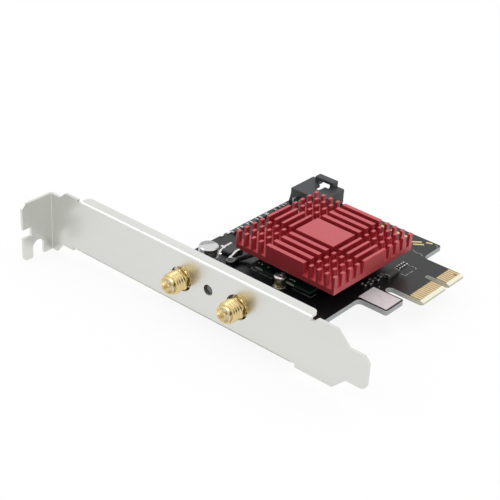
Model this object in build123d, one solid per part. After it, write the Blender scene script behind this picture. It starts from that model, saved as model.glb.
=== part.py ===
"""Wireless network card for a desktop computer: folded bracket, board, module, heatsink, two jacks."""
from build123d import *
import math
import os

# All sizes are in millimetres.
# X runs along the bracket, from the slotted tab to the end tongue, with 0 at the tab's inner face.
# Y runs from the bracket's outer face into the card, and Z up from the plate's lower edge.

# Fits and margins
slip_fit = 0.05
hole_fit = 0.15
small_sides = 8
cut_past = 1.0

# Bracket sheet and face plate
sheet = 0.9
bend_radius = 0.2
plate_length = 120.02
plate_width = 18.42
tongue_width = 10.19
tongue_length = 6.6
tongue_chamfer = 1.7
tongue_round = 2.0

# Bracket tab with its screw slot
tab_depth = 11.43
tab_drop = 3.2
tab_step = 2.25
low_step_start = 2.1
high_step_start = 3.85
step_run = 2.5
tab_chamfer = 1.3
finger_round = 1.4
tab_notch_bottom = 4.65
tab_notch_height = 3.0
tab_notch_depth = 3.2
screw_slot_width = 4.42
screw_slot_offset = 5.65
screw_slot_top = 2.3

# Bracket flanges and the ears under the board
flange_depth = 3.5
flange_round = 1.6
upper_flange_start = 13.3
upper_flange_tail = 19.3
upper_inset = 0.0
upper_relief = 0.75
upper_end_relief = 1.35
shoulder_round = 0.9
lower_flange_start = 11.0
lower_flange_tail = 25.0
lower_inset = 0.4
lower_relief = 1.15
relief_near = 1.5
relief_far = 1.6
ear_width = 9.0
ear_straight = 0.6
ear_end = 13.4
ear_round = 2.0
ear_inset = 5.6

# Main board
board_thick = 1.57
board_top = 4.8
board_front = 1.4
board_rear = 76.7
board_left = 40.4
board_right = 92.5
board_round = 0.6
hook_front = 34.0
hook_width = 8.6
hook_reach = 9.8
hook_round = 0.8
inner_round = 1.6
edge_gap = 3.03
edge_gap_end = 2.5
edge_reach = 14.44
first_bank = 11.65
key_width = 1.9
second_bank = 7.65
key_depth = 7.74
bevel_run = 1.2
bevel_rise = 0.45

# Edge contacts and the label
contact_pitch = 1.0
contact_width = 0.7
contact_length = 3.74
contact_thick = 0.05
first_count = 11
second_count = 7
short_by = 1.1
label_thick = 0.1
label_margin = 0.6

# Screws that hold the board on the ears
screw_radius = 1.45
screw_head_radius = 2.8
screw_head_height = 1.8
screw_tip = 0.9
screw_place = 9.6

# Antenna jacks
jack_from_left = 14.04
jack_pitch = 21.03
jack_rise = 4.7
jack_front = 5.7
jack_hole_radius = 3.85
rim_radius = 2.6
rim_length = 1.1
thread_radius = 3.175
thread_length = 3.4
hex_flats = 6.0
hex_corner_radius = 3.35
hex_length = 1.4
neck_radius = 2.7
block_width = 6.5
block_front = 1.6
block_depth = 6.5
block_above_axis = 3.25
block_chamfer = 0.3
leg_size = 1.0
leg_spread = 5.08
leg_tail = 1.0
bore_radius = 2.3
bore_depth = 2.2
insulator_radius = 2.05
contact_radius = 0.64
contact_tip_radius = 0.46
contact_tip_length = 1.6
contact_leg = 0.8
contact_clear = 0.75

# Status lamp behind the plate
lamp_from_jack = 10.36
lamp_rise = 5.5
lamp_hole_radius = 1.65
lamp_radius = 1.5
lamp_length = 4.4
lamp_tip = 0.45
lamp_dome_length = 1.3
lamp_dome_steps = 2
lamp_flange_radius = 1.9
lamp_flange_length = 1.0
lamp_lead = 0.5
lamp_lead_pitch = 2.54
lamp_lead_run = 2.0
lamp_lead_tail = 1.0

# Radio module on its socket and standoff
module_from_left = 31.5
module_end = 23.2
module_width = 22.0
module_length = 30.0
module_thick = 0.8
module_gap = 1.8
module_tongue_width = 19.85
module_insert = 4.0
module_notch_radius = 1.25
shield_width = 20.4
shield_length = 19.0
shield_height = 1.3
shield_from_end = 6.4
shield_corner = 0.8
shield_edge_chamfer = 0.2
pad_width = 18.0
pad_length = 17.0
pad_thick = 1.3
socket_length = 23.0
socket_depth = 8.8
socket_height = 3.4
socket_lip = 0.5
socket_tail_pitch = 0.5
socket_tail_width = 0.2
socket_tail_length = 0.9
socket_tail_thick = 0.2
standoff_radius = 1.55
standoff_bore = 1.05
standoff_foot_radius = 1.8
standoff_foot_height = 0.45
module_screw_radius = 0.95
module_head_radius = 1.85
module_head_height = 1.0
module_screw_length = 2.4

# Heatsink with crossing saw cuts
sink_size_x = 37.0
sink_size_y = 37.0
sink_height = 5.75
sink_base = 1.7
sink_from_left = 14.25
sink_front = 23.35
sink_turn = -1.2
fin_x = 1.0
fin_y = 1.5
saw_cut = 1.85
cuts_each_side = 4

# Antenna lead with a plug at each end, and the seats for both jacks
lead_radius = 0.8
lead_start_run = 3.5
lead_end_run = 2.6
lead_bend_share = 0.45
plug_radius = 1.35
plug_height = 1.6
plug_axis = 0.95
plug_reach = 2.4
plug_tail_width = 1.8
plug_chamfer = 0.25
seat_size = 2.6
seat_thick = 0.25
seat_post_radius = 1.0
seat_post_height = 0.6
module_seat_spread = 16.5
module_seat_from_end = 4.3
left_seat_from_left = 13.6
left_seat_y = 21.9
right_seat_from_left = 39.6
right_seat_y = 13.0
lead_out_heading = 75
lead_in_heading = -15

# Power header with its latch bridge
header_from_left = 0.8
header_width = 12.8
header_depth = 11.6
header_height = 5.0
header_wall = 0.9
header_back = 3.2
header_overhang = 0.6
bridge_width = 7.4
bridge_height = 2.0
bridge_depth = 2.6
bridge_bar = 1.05
bridge_post = 1.4
wide_notch_depth = 3.3
latch_slot_width = 2.0
latch_slot_length = 3.2
buttress_run = 0.7
buttress_height = 3.0
buttress_depth = 2.5
pin_size = 0.64
pin_pitch = 2.54
pin_count = 4
pin_tip_inset = 1.8
pin_tail_out = 1.6
pin_tail_below = 1.2

# Capacitor can
can_from_left = 7.9
can_y = 18.4
can_radius = 3.0
can_height = 5.7
can_chamfer = 0.3
can_groove_rise = 1.1
can_groove_width = 0.7
can_groove_depth = 0.25
can_base_size = 6.6
can_base_thick = 0.9
can_base_chamfer = 1.3
can_tab_width = 0.8
can_tab_length = 2.2
can_tab_thick = 0.15
can_tab_out = 0.6

# Power inductor
coil_from_left = 8.95
coil_y = 27.6
coil_size_x = 3.5
coil_size_y = 5.0
coil_height = 1.3
coil_chamfer = 0.3
coil_end_thick = 0.8
coil_end_height = 1.45
coil_end_slope = 2.0
coil_foot_out = 0.4
coil_foot_length = 0.9
coil_foot_height = 0.35

# Small chips
chip_end = 0.35
small_chip = (1.6, 0.8, 0.5)
edge_chip = (3.0, 1.4, 0.8)
power_chip = (5.2, 1.9, 1.0)
tiny_chip = (1.0, 0.6, 0.4)
edge_row_from_left = 1.7
edge_row_start = 37.6
edge_row_pitch = 4.5
edge_row_count = 4
edge_tail = ((1.2, 53.7), (1.3, 57.4), (1.0, 59.8), (1.3, 61.5), (1.0, 62.9))
bank_from_right = 1.6
bank_start = 56.0
bank_pitch = 1.15
bank_count = 4
power_chip_from_right = 0.9
power_chip_y = 51.6
single_chips = ((3.2, 40.7), (2.5, 42.5), (3.1, 44.2), (2.3, 45.8))
wide_chip = (2.0, 1.3, 0.7)
wide_chip_from_right = 2.5
wide_chip_y = 48.2

# Bare gold strips near the rear corner
strip_thick = 0.05
strip_width = 0.9
strip_length = 3.4
strip_gap = 0.8
strip_from_rear = 2.4
strip_from_right = 8.6
strip_count = 3

# Places worked out from the sizes above
board_bottom = board_top - board_thick
bend_outer = bend_radius + sheet
upper_flange_end = plate_length - upper_flange_tail
lower_flange_end = plate_length - lower_flange_tail
tab_top = plate_width - tab_step
hook_rear = hook_front + hook_width
edge_start = hook_rear + edge_gap
key_start = edge_start + first_bank
key_end = key_start + key_width
edge_end = key_end + second_bank
edge_line = board_right + edge_reach
contact_front = edge_line - bevel_run
contact_back = contact_front - contact_length
ear_places = (board_left + ear_inset, board_right - ear_inset)
jack_axis = board_top + jack_rise
jack_places = {"left": board_left + jack_from_left, "right": board_left + jack_from_left + jack_pitch}
hex_front = rim_length + thread_length - jack_front
hex_rear = hex_front + hex_length
block_rear = block_front + block_depth
block_middle = block_front + block_depth / 2
lamp_x = jack_places["left"] + lamp_from_jack
lamp_axis = board_top + lamp_rise
lamp_rear = lamp_tip + lamp_length + lamp_flange_length
lamp_bend = lamp_rear + lamp_lead_run
module_x = board_left + module_from_left
module_bottom = board_top + module_gap
module_top = module_bottom + module_thick
module_rear = module_end + module_length
socket_front = module_rear - module_insert
socket_rear = socket_front + socket_depth
shield_front = module_end + shield_from_end
shield_top = module_top + shield_height
sink_bottom = shield_top + pad_thick
sink_top = sink_bottom + sink_height
sink_left = board_left + sink_from_left
seat_places = {
    "left": (board_left + left_seat_from_left, left_seat_y),
    "right": (board_left + right_seat_from_left, right_seat_y),
}
module_seats = {
    "left": (module_x - module_seat_spread / 2, module_end + module_seat_from_end),
    "right": (module_x + module_seat_spread / 2, module_end + module_seat_from_end),
}
header_left = board_left + header_from_left
header_middle = header_left + header_width / 2
header_mouth = board_rear + header_overhang
header_front = header_mouth - header_depth
header_top = board_top + header_height
pin_axis = board_top + header_height / 2
pin_tail_y = header_front - pin_tail_out
pin_places = [header_middle + (i - (pin_count - 1) / 2) * pin_pitch for i in range(pin_count)]
can_x = board_left + can_from_left
coil_x = board_left + coil_from_left

# The part's origin is under the middle of its box.
origin = ((plate_length - sheet) / 2, (header_mouth - tab_depth) / 2, -tab_drop)


def block(low, high):
    """Block between two opposite corners."""
    size = [b - a for a, b in zip(low, high)]
    middle = [(a + b) / 2 for a, b in zip(low, high)]
    return Pos(*middle) * Box(*size)


def post(x, y, bottom, top, radius):
    """Upright round post."""
    return Pos(x, y, (bottom + top) / 2) * Cylinder(radius, top - bottom)


def small_hole(radius):
    """Section of a small hidden hole with a few flats, clear of a circle of the radius."""
    return RegularPolygon(radius, small_sides, major_radius=False)


def small_post(x, y, bottom, top, radius):
    """Small hidden upright post with a few flats, inside a circle of the radius."""
    return upright(Pos(x, y) * RegularPolygon(radius, small_sides), bottom, top)


def across_x(sketch, start, end):
    """Sketch of Y and Z drawn out along X."""
    plane = Plane(origin=(start, 0, 0), x_dir=(0, 1, 0), z_dir=(1, 0, 0))
    return extrude(plane * sketch, amount=end - start, dir=(1, 0, 0))


def across_y(sketch, start, end):
    """Sketch of X and Z drawn out along Y."""
    plane = Plane(origin=(0, start, 0), x_dir=(1, 0, 0), z_dir=(0, -1, 0))
    return extrude(plane * sketch, amount=end - start, dir=(0, 1, 0))


def upright(sketch, bottom, top):
    """Sketch of X and Y drawn out along Z."""
    return extrude(Pos(0, 0, bottom) * sketch, amount=top - bottom, dir=(0, 0, 1))


def outline(*points):
    """Closed flat outline through the points."""
    return Polygon(*points, align=None)


def corners(sketch, points):
    """Corners of a flat outline at the given points."""
    return [sketch.vertices().sort_by_distance((u, v, 0))[0] for u, v in points]


def group(pieces):
    """Separate solids kept together in one node."""
    return Compound([solid for piece in pieces for solid in piece.solids()])


# Bracket

def folded_angle(floor):
    """Section of a lower flange with its fold and the start of the plate, in Y and Z."""
    wall_top = floor + bend_outer + cut_past
    section = outline(
        (0, floor),
        (flange_depth, floor),
        (flange_depth, floor + sheet),
        (sheet, floor + sheet),
        (sheet, wall_top),
        (0, wall_top),
    )
    section = fillet(corners(section, [(0, floor)]), bend_outer)
    return fillet(corners(section, [(sheet, floor + sheet)]), bend_radius)


def flange(start, end, floor):
    """Lower flange between two places along the bracket, with round rear corners."""
    strip = across_x(folded_angle(floor), start, end)
    rear = strip.edges().filter_by(Axis.Z).sort_by(Axis.Y)[-2:]
    return fillet(rear, flange_round)


def flange_break(start, end, edge, relief, end_relief, fold):
    """Points of the plate's edge along one flange, with a relief at each end."""
    return [
        (start - relief_near, edge),
        (start - relief_near, relief),
        (start, relief),
        (start, fold),
        (end, fold),
        (end, end_relief),
        (end + relief_far, end_relief),
        (end + relief_far, edge),
    ]


def face_plate():
    """Flat face of the bracket, with its stepped tab end, shoulders and tongue."""
    shoulder = (plate_width - tongue_width) / 2
    shoulder_start = plate_length - tongue_length - shoulder
    tongue_low = (plate_length, shoulder)
    tongue_high = (plate_length, plate_width - shoulder)
    low_fold = lower_inset + bend_outer
    high_fold = plate_width - upper_inset - bend_outer
    high_relief = plate_width - upper_relief
    high_end = plate_width - upper_end_relief
    low_break = flange_break(
        lower_flange_start, lower_flange_end, 0, lower_relief, lower_relief, low_fold
    )
    high_break = flange_break(
        upper_flange_start, upper_flange_end, plate_width, high_relief, high_end, high_fold
    )
    shape = outline(
        (bend_radius, -tab_drop),
        (low_step_start, -tab_drop),
        (low_step_start + step_run, 0),
        *low_break,
        (shoulder_start, 0),
        (shoulder_start + shoulder, shoulder),
        tongue_low,
        tongue_high,
        (shoulder_start + shoulder, plate_width - shoulder),
        (shoulder_start, plate_width),
        *reversed(high_break),
        (high_step_start + step_run, plate_width),
        (high_step_start, tab_top),
        (bend_radius, tab_top),
    )
    shape = fillet(corners(shape, [high_break[-1]]), shoulder_round)
    shape = fillet(corners(shape, [tongue_low]), tongue_round)
    shape = chamfer(corners(shape, [tongue_high]), tongue_chamfer)
    holes = [Pos(x, jack_axis) * Circle(jack_hole_radius) for x in jack_places.values()]
    shape -= holes + [Pos(lamp_x, lamp_axis) * Circle(lamp_hole_radius)]
    return across_y(shape, 0, sheet)


def slotted_tab():
    """Tab folded outward, with an open screw slot, a square notch and a round finger."""
    section = outline(
        (0, 0),
        (0, -tab_depth),
        (-sheet, -tab_depth),
        (-sheet, sheet),
        (low_step_start, sheet),
        (low_step_start, 0),
    )
    section = fillet(corners(section, [(0, 0)]), bend_radius)
    section = fillet(corners(section, [(-sheet, sheet)]), bend_outer)
    tab = upright(section, -tab_drop, tab_top)

    face = outline((-tab_depth, -tab_drop), (0, -tab_drop), (0, tab_top), (-tab_depth, tab_top))
    face = fillet(corners(face, [(-tab_depth, -tab_drop)]), finger_round)
    face = chamfer(corners(face, [(-tab_depth, tab_top)]), tab_chamfer)
    blank = outline((-tab_depth, -tab_drop), (0, -tab_drop), (0, tab_top), (-tab_depth, tab_top))
    slot_radius = screw_slot_width / 2
    slot_low = -tab_drop - cut_past
    slot_high = screw_slot_top - slot_radius
    slot = Rectangle(screw_slot_width, slot_high - slot_low)
    slot = Pos(-screw_slot_offset, (slot_low + slot_high) / 2) * slot
    slot += Pos(-screw_slot_offset, slot_high) * Circle(slot_radius)
    notch = outline(
        (-tab_depth - cut_past, tab_notch_bottom),
        (-tab_depth + tab_notch_depth, tab_notch_bottom),
        (-tab_depth + tab_notch_depth, tab_notch_bottom + tab_notch_height),
        (-tab_depth - cut_past, tab_notch_bottom + tab_notch_height),
    )
    waste = (blank - face) + slot + notch
    return tab - across_x(waste, -sheet - cut_past, cut_past)


def board_ear(x):
    """Ear jogged up from the lower flange to the underside of the board."""
    floor = lower_inset
    rise = board_bottom - sheet - floor
    bend = flange_depth + ear_straight
    lean = sheet * math.tan(math.radians(45 / 2))
    root = sheet + bend_radius
    section = outline(
        (root, floor),
        (bend, floor),
        (bend + rise, floor + rise),
        (ear_end, floor + rise),
        (ear_end, board_bottom),
        (bend + rise - lean, board_bottom),
        (bend - lean, floor + sheet),
        (root, floor + sheet),
    )
    ear = across_x(section, x - ear_width / 2, x + ear_width / 2)
    rear = ear.edges().filter_by(Axis.Z).sort_by(Axis.Y)[-2:]
    ear = fillet(rear, ear_round)
    return ear - post(x, screw_place, 0, board_bottom + cut_past, screw_radius + slip_fit)


def bracket():
    """Whole bracket, folded from one sheet."""
    upper = flange(upper_flange_start, upper_flange_end, upper_inset)
    upper = upper.mirror(Plane(origin=(0, 0, plate_width / 2), z_dir=(0, 0, 1)))
    lower = flange(lower_flange_start, lower_flange_end, lower_inset)
    ears = [board_ear(x) for x in ear_places]
    return face_plate() + [slotted_tab(), upper, lower] + ears


def board_screws():
    """Two pan head screws through the board into the ears."""
    tip = board_bottom - sheet - screw_tip
    screws = []
    for x in ear_places:
        head = post(x, screw_place, board_top, board_top + screw_head_height, screw_head_radius)
        screws.append(head + small_post(x, screw_place, tip, board_top, screw_radius))
    return group(screws)


# Board

def board_outline():
    """Outline of the board with its hook, its edge tongue and the key slot."""
    gap_radius = edge_gap / 2
    hook_line = board_right + hook_reach
    gap_line = board_right + edge_gap_end
    hook_corners = [(hook_line, hook_front), (hook_line, hook_rear)]
    outer_corners = [
        (board_left, board_front),
        (board_right, board_front),
        (board_right, board_rear),
        (board_left, board_rear),
    ]
    inner_corners = [(board_right, hook_front), (board_right, edge_end)]
    shape = outline(
        outer_corners[0],
        outer_corners[1],
        inner_corners[0],
        hook_corners[0],
        hook_corners[1],
        (gap_line + gap_radius, hook_rear),
        (gap_line + gap_radius, edge_start),
        (edge_line, edge_start),
        (edge_line, edge_end),
        inner_corners[1],
        outer_corners[2],
        outer_corners[3],
    )
    shape = fillet(corners(shape, hook_corners), hook_round)
    shape = fillet(corners(shape, inner_corners), inner_round)
    shape = fillet(corners(shape, outer_corners), board_round)
    shape -= Pos(gap_line + gap_radius, hook_rear + gap_radius) * Circle(gap_radius)
    key_radius = key_width / 2
    key_round = edge_line - key_depth + key_radius
    key_end_line = edge_line + cut_past
    shape -= Pos(key_round, key_start + key_radius) * Circle(key_radius)
    shape -= outline(
        (key_round, key_start),
        (key_end_line, key_start),
        (key_end_line, key_end),
        (key_round, key_end),
    )
    return shape


def lead_holes():
    """Small holes for square legs through the board, as places and clear radii."""
    holes = []
    for x in jack_places.values():
        holes += [(x + u, v, leg_size / math.sqrt(2) + hole_fit) for u, v in leg_places()]
        holes.append((x, block_middle, contact_leg / math.sqrt(2) + hole_fit))
    lamp_lead_hole = lamp_lead / math.sqrt(2) + hole_fit
    for side in (-1, 1):
        holes.append((lamp_x + side * lamp_lead_pitch / 2, lamp_bend, lamp_lead_hole))
    holes += [(x, pin_tail_y, pin_size / math.sqrt(2) + hole_fit) for x in pin_places]
    return holes


def main_board():
    """Board with bevelled edge tongue and drilled holes."""
    shape = board_outline()
    shape -= [Pos(x, screw_place) * Circle(screw_radius + hole_fit) for x in ear_places]
    for x, y, radius in lead_holes():
        shape -= Pos(x, y) * small_hole(radius)
    body = upright(shape, board_bottom, board_top)
    upper = outline(
        (edge_line - bevel_run, board_top),
        (edge_line, board_top - bevel_rise),
        (edge_line + cut_past, board_top - bevel_rise),
        (edge_line + cut_past, board_top + cut_past),
        (edge_line - bevel_run, board_top + cut_past),
    )
    wedge = across_y(upper, edge_start - cut_past, edge_end + cut_past)
    middle = Plane(origin=(0, 0, (board_top + board_bottom) / 2), z_dir=(0, 0, 1))
    return body - [wedge, wedge.mirror(middle)]


def edge_contacts(bottom, short_index):
    """Row of contacts on one face of the edge tongue, one of them shorter."""
    places = []
    banks = ((edge_start, first_bank, first_count), (key_end, second_bank, second_count))
    for start, width, count in banks:
        first = start + (width - (count - 1) * contact_pitch) / 2
        places += [first + i * contact_pitch for i in range(count)]
    strips = []
    for index, y in enumerate(places):
        front = contact_front - (short_by if index == short_index else 0)
        low = (contact_back, y - contact_width / 2, bottom)
        strips.append(block(low, (front, y + contact_width / 2, bottom + contact_thick)))
    return group(strips)


def blank_label():
    """Thin plain label on the hook."""
    low = (board_right - label_margin, hook_front + label_margin, board_top)
    high = (board_right + hook_reach - label_margin, hook_rear - label_margin, board_top + label_thick)
    return block(low, high)


def gold_strips():
    """Bare gold strips on the board's rear corner."""
    strips = []
    right = board_right - strip_from_right
    rear = board_rear - strip_from_rear
    for i in range(strip_count):
        left = right + (i - strip_count) * (strip_length + strip_gap)
        low = (left, rear - strip_width, board_top)
        strips.append(block(low, (left + strip_length, rear, board_top + strip_thick)))
    return group(strips)


# Antenna jacks

def leg_places():
    """Places of a jack's four legs, from its axis in X and in Y of the card."""
    half = leg_spread / 2
    return [(u * half, block_middle + v * half) for u in (-1, 1) for v in (-1, 1)]


def along_jack(x, start, end, radius):
    """Round rod on a jack's axis."""
    return across_y(Pos(x, jack_axis) * Circle(radius), start, end)


def jack_body(x):
    """Turned and milled jack: rim, threaded barrel, hexagon, neck, block and four legs."""
    rim_end = rim_length - jack_front
    rim = along_jack(x, -jack_front, rim_end, rim_radius)
    barrel = along_jack(x, rim_end, hex_front, thread_radius)
    hexagon = RegularPolygon(hex_flats / 2, 6, major_radius=False, rotation=30)
    hexagon = Pos(x, jack_axis) * (hexagon & Circle(hex_corner_radius))
    hexagon = across_y(hexagon, hex_front, hex_rear)
    neck = along_jack(x, hex_rear, block_front, neck_radius)
    low = (x - block_width / 2, block_front, board_top)
    rear = block(low, (x + block_width / 2, block_rear, jack_axis + block_above_axis))
    top_edges = rear.edges().group_by(Axis.Z)[-1]
    rear = chamfer(top_edges, block_chamfer)
    half = leg_size / 2
    legs = []
    for u, v in leg_places():
        foot = (x + u - half, v - half, board_bottom - leg_tail)
        legs.append(block(foot, (x + u + half, v + half, board_top)))
    body = rim + [barrel, hexagon, neck, rear] + legs
    bore = along_jack(x, -jack_front - cut_past, bore_depth - jack_front, bore_radius)
    hollow = along_jack(x, -jack_front, block_middle + contact_radius + contact_clear, insulator_radius)
    half_shaft = contact_leg / 2 + contact_clear
    shaft_low = (x - half_shaft, block_middle - half_shaft, board_top - cut_past)
    shaft = block(shaft_low, (x + half_shaft, block_middle + half_shaft, jack_axis))
    return body - [bore, hollow, shaft]


def jack_insulator(x):
    """White insulator behind the open bore, with the contact through it."""
    start = bore_depth - jack_front
    end = block_middle - contact_radius - slip_fit
    sleeve = along_jack(x, start, end, insulator_radius - slip_fit)
    return sleeve - along_jack(x, start - cut_past, end + cut_past, contact_radius + slip_fit)


def jack_contact(x):
    """Centre pin that runs back and then down through the board."""
    start = bore_depth - jack_front
    tip = along_jack(x, start - contact_tip_length, start, contact_tip_radius)
    pin = along_jack(x, start, block_middle + contact_radius, contact_radius)
    half = contact_leg / 2
    low = (x - half, block_middle - half, board_bottom - leg_tail)
    return tip + [pin, block(low, (x + half, block_middle + half, jack_axis))]


# Status lamp

def status_lamp():
    """Round lamp with a domed front in the plate's small hole, turned from half its section."""
    dome = []
    for i in range(lamp_dome_steps + 1):
        angle = math.radians(90 * i / lamp_dome_steps)
        dome.append((lamp_radius * math.sin(angle), lamp_tip + lamp_dome_length * (1 - math.cos(angle))))
    flange_start = lamp_tip + lamp_length
    half = outline(
        *dome,
        (lamp_radius, flange_start),
        (lamp_flange_radius, flange_start),
        (lamp_flange_radius, lamp_rear),
        (0, lamp_rear),
    )
    return Pos(lamp_x, 0, lamp_axis) * revolve(half, axis=Axis.Y)


def lamp_leads():
    """Two square leads, bent down from the lamp into the board."""
    half = lamp_lead / 2
    leads = []
    for side in (-1, 1):
        x = lamp_x + side * lamp_lead_pitch / 2
        corner = (x + half, lamp_bend + half, lamp_axis + half)
        level = block((x - half, lamp_rear, lamp_axis - half), corner)
        foot = (x - half, lamp_bend - half, board_bottom - lamp_lead_tail)
        leads.append(level + block(foot, corner))
    return group(leads)


# Radio module

def module_board():
    """Module board with a half round screw notch and a narrower plug edge."""
    half = module_width / 2
    tongue = module_tongue_width / 2
    step = socket_front - slip_fit
    shape = outline(
        (module_x - half, module_end),
        (module_x + half, module_end),
        (module_x + half, step),
        (module_x + tongue, step),
        (module_x + tongue, module_rear),
        (module_x - tongue, module_rear),
        (module_x - tongue, step),
        (module_x - half, step),
    )
    shape -= Pos(module_x, module_end) * Circle(module_notch_radius)
    return upright(shape, module_bottom, module_top)


def module_shield():
    """Drawn metal can over the module's chips."""
    half = shield_width / 2
    low = (module_x - half, shield_front, module_top)
    can = block(low, (module_x + half, shield_front + shield_length, shield_top))
    can = chamfer(can.edges().filter_by(Axis.Z), shield_corner)
    return chamfer(can.edges().group_by(Axis.Z)[-1], shield_edge_chamfer)


def thermal_pad():
    """Soft pad between the shield and the heatsink."""
    middle = shield_front + shield_length / 2
    low = (module_x - pad_width / 2, middle - pad_length / 2, shield_top)
    return block(low, (module_x + pad_width / 2, middle + pad_length / 2, sink_bottom))


def module_socket():
    """Socket for the module's plug edge, open to the front."""
    half = socket_length / 2
    high = (module_x + half, socket_rear, board_top + socket_height)
    body = block((module_x - half, socket_front, board_top), high)
    mouth = module_tongue_width / 2 + slip_fit
    low = (module_x - mouth, socket_front - cut_past, module_bottom - slip_fit)
    slot = block(low, (module_x + mouth, module_rear + slip_fit, module_top + slip_fit))
    lead_in = outline(
        (socket_front, module_top + slip_fit),
        (socket_front, module_top + slip_fit + socket_lip),
        (socket_front + socket_lip, module_top + slip_fit),
    )
    return body - [slot, across_x(lead_in, module_x - mouth, module_x + mouth)]


def socket_tails():
    """Row of solder tails behind the socket."""
    count = int(module_tongue_width / socket_tail_pitch) - 1
    half = socket_tail_width / 2
    tails = []
    for i in range(count):
        x = module_x + (i - (count - 1) / 2) * socket_tail_pitch
        high = (x + half, socket_rear + socket_tail_length, board_top + socket_tail_thick)
        tails.append(block((x - half, socket_rear, board_top), high))
    return group(tails)


def module_standoff():
    """Threaded post under the module's screw notch."""
    body = post(module_x, module_end, board_top, module_bottom, standoff_radius)
    body += post(module_x, module_end, board_top, board_top + standoff_foot_height, standoff_foot_radius)
    return body - post(module_x, module_end, board_top - cut_past, module_bottom + cut_past, standoff_bore)


def module_screw():
    """Screw that holds the module on its standoff."""
    head = post(module_x, module_end, module_top, module_top + module_head_height, module_head_radius)
    shank_low = module_top - module_screw_length
    shank = small_post(module_x, module_end, shank_low, module_top, module_screw_radius)
    return head + shank


def heatsink():
    """Block sawn both ways into pins and short bars round a plain middle."""
    low = (sink_left, sink_front, sink_bottom)
    blank = block(low, (sink_left + sink_size_x, sink_front + sink_size_y, sink_top))
    floor = sink_bottom + sink_base
    cuts = []
    for i in range(cuts_each_side):
        for near in (True, False):
            x = fin_x + i * (fin_x + saw_cut)
            x = sink_left + (x if near else sink_size_x - x - saw_cut)
            front = sink_front - cut_past
            rear = sink_front + sink_size_y + cut_past
            cuts.append(block((x, front, floor), (x + saw_cut, rear, sink_top + cut_past)))
            y = fin_y + i * (fin_y + saw_cut)
            y = sink_front + (y if near else sink_size_y - y - saw_cut)
            left = sink_left - cut_past
            right = sink_left + sink_size_x + cut_past
            cuts.append(block((left, y, floor), (right, y + saw_cut, sink_top + cut_past)))
    middle = Pos(sink_left + sink_size_x / 2, sink_front + sink_size_y / 2, 0)
    turn = middle * Rot(0, 0, sink_turn) * middle.inverse()
    return turn * (blank - cuts)


# Antenna lead

def lead_seat(x, y, floor):
    """Small coaxial seat: square base with a post."""
    half = seat_size / 2
    base = block((x - half, y - half, floor), (x + half, y + half, floor + seat_thick))
    post_low = floor + seat_thick
    return base + small_post(x, y, post_low, post_low + seat_post_height, seat_post_radius)


def lead_plug(x, y, floor, heading):
    """Cap plug over a seat, with its tail turned towards the lead."""
    bottom = seat_thick + slip_fit
    cap = post(0, 0, bottom, plug_height, plug_radius)
    half = plug_tail_width / 2
    tail = block((0, -half, bottom), (plug_reach, half, plug_height))
    plug = chamfer((cap + tail).edges().group_by(Axis.Z)[-1], plug_chamfer)
    cavity = seat_thick + seat_post_height + slip_fit
    plug -= upright(small_hole(seat_post_radius + slip_fit), 0, cavity)
    return Pos(x, y, floor) * Rot(0, 0, heading) * plug


def lead_route():
    """Points of the left lead from its board plug up to its module plug."""
    start = Vector(*seat_places["left"], board_top + plug_axis)
    end = Vector(*module_seats["left"], module_top + plug_axis)
    out = Vector(1, 0, 0).rotate(Axis.Z, lead_out_heading)
    back = Vector(1, 0, 0).rotate(Axis.Z, lead_in_heading)
    first = start + out * plug_reach
    last = end - back * plug_reach
    return [first, first + out * lead_start_run, last - back * lead_end_run, last]


def antenna_lead():
    """Thin coaxial lead: straight runs joined by arcs as large as the runs allow."""
    points = lead_route()
    runs = [b - a for a, b in zip(points, points[1:])]
    radii = []
    for before, after in zip(runs, runs[1:]):
        half_turn = math.radians(before.get_angle(after)) / 2
        radii.append(lead_bend_share * min(before.length, after.length) / math.tan(half_turn))
    print("lead radii", [round(radius, 2) for radius in radii])
    path = FilletPolyline(*points, radius=radii)
    section = Plane(origin=points[0], z_dir=runs[0]) * Circle(lead_radius)
    return sweep(section, path=path)


# Power header

def header_housing():
    """Shrouded header, open to the rear, with a latch bridge over its notched top wall."""
    right = header_left + header_width
    mouth = header_mouth + cut_past
    above = header_top + cut_past
    back = header_front + header_back
    body = block((header_left, header_front, board_top), (right, header_mouth, header_top))
    inner_low = (header_left + header_wall, back, board_top + header_wall)
    cavity = block(inner_low, (right - header_wall, mouth, header_top - header_wall))
    notch_half = bridge_width / 2 - bridge_post
    notch_left = header_middle - notch_half
    notch_right = header_middle + notch_half
    notch_front = header_mouth - wide_notch_depth
    inner_top = header_top - header_wall - cut_past
    wide = block((notch_left, notch_front, inner_top), (notch_right, mouth, above))
    slot_half = latch_slot_width / 2
    slot_low = (header_middle - slot_half, notch_front - latch_slot_length, inner_top)
    slot = block(slot_low, (header_middle + slot_half, notch_front + cut_past, above))
    half_pin = pin_size / 2 + slip_fit
    pin_holes = []
    for x in pin_places:
        low = (x - half_pin, header_front - cut_past, pin_axis - half_pin)
        pin_holes.append(block(low, (x + half_pin, back + cut_past, pin_axis + half_pin)))
    body -= [cavity, wide, slot] + pin_holes

    bridge_front = header_mouth - bridge_depth
    bridge_top = header_top + bridge_height
    bridge_low = (header_middle - bridge_width / 2, bridge_front, header_top)
    bridge = block(bridge_low, (header_middle + bridge_width / 2, header_mouth, bridge_top))
    window_low = (notch_left, bridge_front - cut_past, header_top)
    bridge -= block(window_low, (notch_right, mouth, bridge_top - bridge_bar))
    parts = [bridge]
    for edge, turn in ((header_left, -1), (right, 1)):
        foot = edge + turn * buttress_run
        wedge = outline((edge, board_top), (foot, board_top), (edge, board_top + buttress_height))
        parts.append(across_y(wedge, header_front, header_front + buttress_depth))
    return body + parts


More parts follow.
